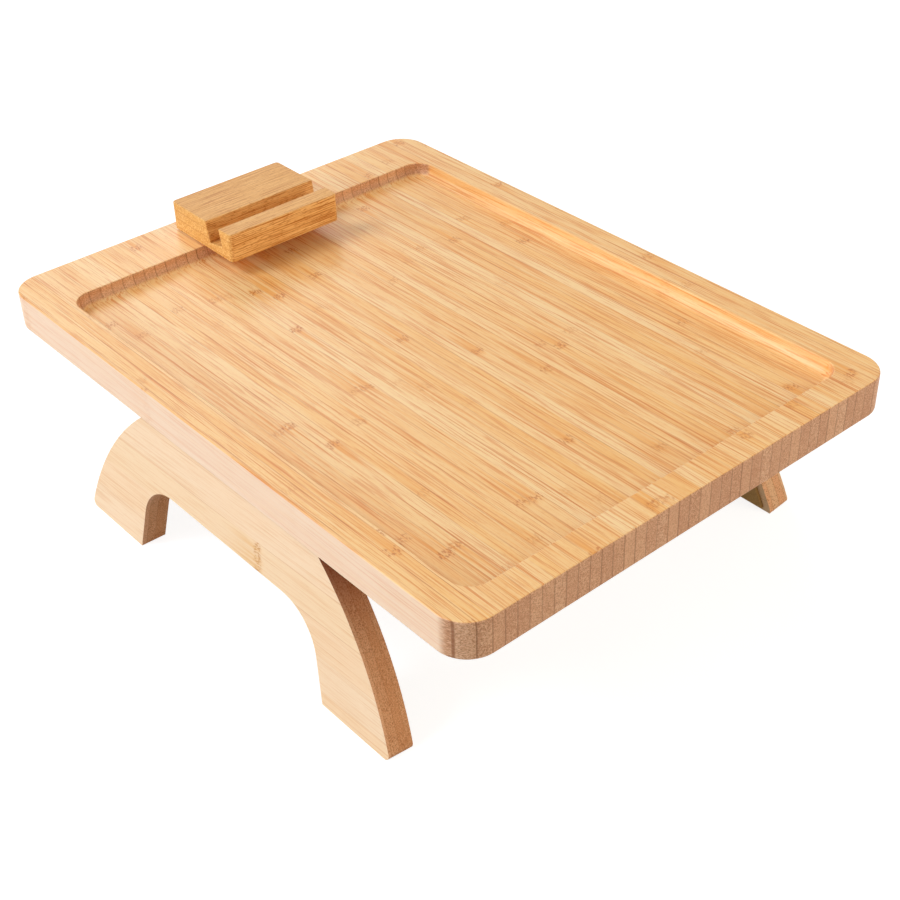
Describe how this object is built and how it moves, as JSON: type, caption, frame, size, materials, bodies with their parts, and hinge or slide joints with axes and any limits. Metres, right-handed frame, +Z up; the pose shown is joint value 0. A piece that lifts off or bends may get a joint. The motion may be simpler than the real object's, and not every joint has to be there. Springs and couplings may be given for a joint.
{
  "type": "sofa tray",
  "caption": "Bamboo sofa-arm tray: a coved serving board on two splayed, fold-in arch legs, with a turning slotted phone holder on its back rim.",
  "frame": {"origin": "on the floor under the middle of the board", "axes": "+X across the board's strips to the right, +Y along the strips towards the phone holder, +Z up"},
  "size_m": [0.304, 0.402, 0.1415],
  "materials": {
    "board_bamboo": "satin lacquered bamboo, edge-glued strips",
    "leg_bamboo": "satin lacquered bamboo",
    "holder_bamboo": "satin lacquered bamboo, a darker batch",
    "grip_pad": "matt foam rubber",
    "hinge_steel": "satin",
    "pin_steel": "satin",
    "screw_steel": "zinc plated",
    "insert_brass": "machined",
    "glide_nylon": "smooth"
  },
  "bodies": {
    "tray": {"tray_board": "board_bamboo", "left_front_tray_leaf": "hinge_steel", "left_rear_tray_leaf": "hinge_steel", "right_front_tray_leaf": "hinge_steel", "right_rear_tray_leaf": "hinge_steel", "left_front_hinge_pin": "pin_steel", "left_rear_hinge_pin": "pin_steel", "right_front_hinge_pin": "pin_steel", "right_rear_hinge_pin": "pin_steel", "left_tray_screws": "screw_steel", "right_tray_screws": "screw_steel", "pivot_washer": "screw_steel", "pivot_disc": "glide_nylon"},
    "left_side": {"left_leg": "leg_bamboo", "left_front_pad": "grip_pad", "left_rear_pad": "grip_pad", "left_front_leg_leaf": "hinge_steel", "left_rear_leg_leaf": "hinge_steel", "left_leg_screws": "screw_steel"},
    "right_side": {"right_leg": "leg_bamboo", "right_front_pad": "grip_pad", "right_rear_pad": "grip_pad", "right_front_leg_leaf": "hinge_steel", "right_rear_leg_leaf": "hinge_steel", "right_leg_screws": "screw_steel"},
    "holder": {"phone_holder": "holder_bamboo", "pivot_insert": "insert_brass", "pivot_bolt": "screw_steel"}
  },
  "joints": [
    {"name": "left_leg_fold", "type": "hinge", "parent": "tray", "child": "left_side", "pos_m": [-0.12204, -0.004, 0.0973], "axis": [0, -1, 0], "range_deg": [0, 95]},
    {"name": "right_leg_fold", "type": "hinge", "parent": "tray", "child": "right_side", "pos_m": [0.12204, -0.004, 0.0973], "axis": [0, 1, 0], "range_deg": [0, 95]},
    {"name": "holder_spin", "type": "hinge", "parent": "tray", "child": "holder", "pos_m": [0, 0.1815, 0.1235], "axis": [0, 0, 1], "continuous": true}
  ]
}
